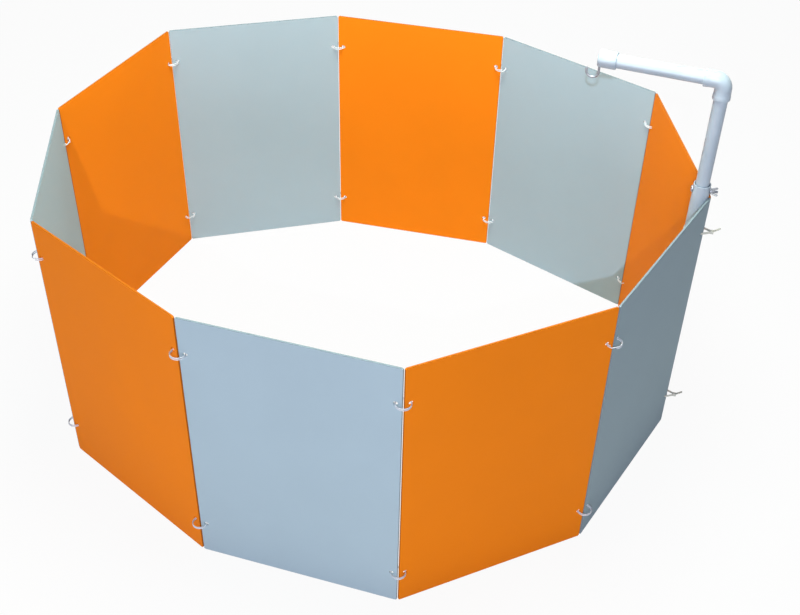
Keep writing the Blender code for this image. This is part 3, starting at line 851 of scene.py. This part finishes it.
def make_hook():
    """A bent wire hook, its tip rounded off."""
    cap_end = local_box("stand_end_cap", arm_place)[1].x
    place = arm_place @ Matrix.Translation((cap_end - HOOK_FROM_CAP_END, 0, 0))
    low, high = local_box("lamp_hook", place)
    wire = HOOK_WIRE / 2
    bend = (high.x - low.x) / 2 - wire
    path = [(0, 0, high.z)]
    path += [(0, 0, high.z + (-HOOK_DROP - high.z) * share) for share in (0.3, 0.6, 0.8)]
    path += [(x, 0, z) for x, z in arc(bend, 180, 360, 41, (bend, -HOOK_DROP))]
    tip = -HOOK_DROP + HOOK_TIP_RISE
    path += [(2 * bend, 0, tip - wire * share) for share in (1.6, 1.0, 0.6, 0.3, 0.12, 0.02)]
    hook = swept("hook", path, wire, (0.98, 0.90, 0.73, 0.50, 0.22))
    settle(smooth(hook, 60), "hook", place, "lamp_hook", WIRE, "zinc_steel")


def make_bolt():
    """A round-headed bolt with a hex drive, its thread cut where it leaves the tube."""
    low, high = local_box("clamp_bolt", bolt_place)
    seat = TUBE_RADIUS + FIT
    head = max(high.x, high.y)
    crown = -seat - low.z
    rise = [(head * math.cos(a), -seat - crown * (0.25 + 0.75 * math.sin(a))) for a in
            [math.pi / 2 * i / 10 for i in range(10)]]
    stations = [(0, low.z)] + rise[::-1] + [(head, -seat), (BOLT_RADIUS, -seat)]
    at = TUBE_RADIUS
    while at + THREAD_PITCH < high.z - THREAD_PITCH / 2:
        stations += [(BOLT_RADIUS, at), (BOLT_RADIUS - THREAD_DEPTH, at + THREAD_PITCH / 2)]
        at += THREAD_PITCH
    stations += [(BOLT_RADIUS, at), (BOLT_RADIUS - THREAD_DEPTH * 2, high.z), (0, high.z)]
    bolt = turned("bolt", stations, 48)
    drive_size = {"radius": DRIVE_RADIUS, "depth": 2 * DRIVE_DEPTH}
    drive = add("cylinder", "drive", vertices=6, location=(0, 0, low.z), **drive_size)
    boolean(bolt, drive, "DIFFERENCE")
    settle(smooth(bolt, 40), "bolt", bolt_place, "clamp_bolt", STEEL, "zinc_steel")


def make_washer():
    low, high = local_box("clamp_washer", bolt_place)
    wall = high.x - BOLT_RADIUS - FIT
    edge = (high.z - low.z) / 4
    inner, outer = high.x - wall, high.x
    stations = [
        (inner, low.z),
        (outer, low.z),
        (outer, high.z - edge),
        (outer - edge, high.z),
        (inner + edge, high.z),
        (inner, high.z - edge),
        (inner, low.z),
    ]
    washer = smooth(turned("washer", stations, 64))
    settle(washer, "washer", bolt_place, "clamp_washer", STEEL, "zinc_steel")


def make_wing_nut():
    """A stamped wing nut: a collared hub and two slim wings with round ends."""
    place = bolt_place @ Matrix.Rotation(math.radians(WING_TURN_DEG), 4, "Z")
    low, high = local_box("clamp_wing_nut", place)
    bore = BOLT_RADIUS + FIT
    hub = high.y
    top = low.z + NUT_LENGTH
    flange = low.z + NUT_FLANGE_HEIGHT
    stations = [
        (bore, low.z),
        (hub - NUT_EDGE, low.z),
        (hub, low.z + NUT_EDGE),
        (hub, flange - 1.25 * NUT_EDGE),
        (hub * 0.93, flange),
        (hub * 0.82, top - 1.25 * NUT_EDGE),
        (hub * 0.76, top),
        (bore + 0.75 * NUT_EDGE, top),
        (bore, top - 0.75 * NUT_EDGE),
        (bore, low.z),
    ]
    nut = turned("wing_nut", stations, 64)
    half = WING_WIDTH / 2
    root = Vector((bore + half, low.z + half))
    tip = Vector((high.x - half, low.z + WING_RISE - half))
    length, lean = (tip - root).length, math.atan2(tip.y - root.y, tip.x - root.x)
    for turn in (0, math.pi):
        wing = add("circle", "wing", vertices=40, radius=half, fill_type="NGON")
        work_on(wing, "EDIT")
        pick("verts", lambda v: v.co.x > half / 100)
        bpy.ops.transform.translate(value=(length, 0, 0))
        pick("faces", lambda f: True)
        bpy.ops.mesh.extrude_region_move(TRANSFORM_OT_translate={"value": (0, 0, WING_THICKNESS)})
        pick("edges", lambda e: sum(abs(f.normal.z) > 0.9 for f in e.link_faces) == 1)
        bpy.ops.mesh.bevel(offset=WING_THICKNESS / 4, segments=3, affect="EDGES")
        deselect()
        upright = Matrix.Rotation(math.pi / 2, 4, "X")
        at = Matrix.Translation((root.x, 0, root.y)) @ upright @ Matrix.Rotation(lean, 4, "Z")
        centred = Matrix.Translation((0, 0, -WING_THICKNESS / 2))
        moved(close_up(wing), Matrix.Rotation(turn, 4, "Z") @ at @ centred)
        boolean(nut, wing, "UNION")
    settle(smooth(nut, 40), "wing_nut", place, "clamp_wing_nut", STEEL, "zinc_steel")


make_sheets()
make_rings()
make_ties()
make_outer_tube()
make_inner_pipe()
make_elbow()
make_arm()
make_end_cap()
make_hook()
make_bolt()
make_washer()
make_wing_nut()


# --- Floor, light and camera -----------------------------------------------------------

FLOOR_SIZE = 30.0
FLOOR_SHARE_SEEN_WHITE = 0.94
LAMPS = {
    "overhead_softbox": ((0.05, -0.1, 2.4), (0, 0, 0), 1.0, 74.0, (0.96, 1.0, 0.90)),
    "front_softbox": ((-1.2, -4.6, 1.0), (0, 0, 0.3), 1.8, 78.0, (1.0, 0.90, 0.95)),
    "lens_lamp": ((-0.5, -5.2, 3.9), (0, 0, 0.3), 0.05, 200.0, (0.76, 0.82, 1.0)),
    "back_softbox": ((0.4, 4.8, 1.8), (0, 0, 0.3), 2.4, 80.0, (0.9, 0.95, 1.0)),
}
SKY_LEVEL = 0.02


def make_floor():
    """A plain pale floor that looks nearly white and keeps a share of the shadow."""
    floor = add("plane", "floor", size=FLOOR_SIZE)
    finish = Finish("floor_finish", 0.9)
    grain = finish.noise(finish.places(), 3.0, 2.0)
    base = finish.mix(grain, (0.52, 0.52, 0.52, 1), (0.54, 0.54, 0.54, 1))
    finish.feed(Base_Color=base)
    white = finish.node("Emission", {}, {"Color": (1, 1, 1, 1), "Strength": 1.0})
    share = finish.seen_directly() * FLOOR_SHARE_SEEN_WHITE
    lit = Value(finish, finish.shader.outputs[0])
    mixed = finish.node("MixShader", {}, {0: share, 1: lit, 2: white})
    output = finish.tree.nodes["Material Output"]
    finish.tree.links.new(mixed.socket, output.inputs["Surface"])
    floor.data.materials.append(finish.material)


def make_lamps():
    for name, (at, target, size, power, colour) in LAMPS.items():
        data = bpy.data.lights.new(name, "AREA")
        data.shape = "DISK"
        data.size = size
        data.energy = power
        data.color = colour
        lamp = bpy.data.objects.new(name, data)
        lamp.location = at
        way = Vector(target) - Vector(at)
        lamp.rotation_euler = way.to_track_quat("-Z", "Y").to_euler()
        bpy.context.scene.collection.objects.link(lamp)


def make_sky():
    world = bpy.data.worlds.new("studio")
    world.use_nodes = True
    bpy.context.scene.world = world
    tree = world.node_tree
    back = tree.nodes["Background"]
    back.inputs["Color"].default_value = (1, 1, 1, 1)
    level = SKY_LEVEL + (1 - SKY_LEVEL) * Nodes(tree).seen_directly()
    tree.links.new(level.socket, back.inputs["Strength"])


def make_camera():
    pitch, roll = math.radians(CAMERA_PITCH_DEG), math.radians(CAMERA_ROLL_DEG)
    forward = Vector((0, math.cos(pitch), -math.sin(pitch)))
    right = Vector((1, 0, 0))
    up = right.cross(forward)
    across = math.cos(roll) * right + math.sin(roll) * up
    upright = math.cos(roll) * up - math.sin(roll) * right
    turn = Matrix((across, upright, -forward)).transposed().to_4x4()
    data = bpy.data.cameras.new("camera")
    data.sensor_fit = "HORIZONTAL"
    data.sensor_width = SENSOR_MM
    data.lens = LENS_MM
    data.clip_end = 100
    camera = bpy.data.objects.new("camera", data)
    corner = Vector((closing_corner.x, closing_corner.y, 0))
    camera.matrix_world = Matrix.Translation(corner + Vector(CAMERA_FROM_CORNER)) @ turn
    bpy.context.scene.collection.objects.link(camera)
    bpy.context.scene.camera = camera


make_floor()
make_lamps()
make_sky()
make_camera()
bpy.context.scene.view_settings.view_transform = "Standard"

deselect()
bpy.context.view_layer.update()
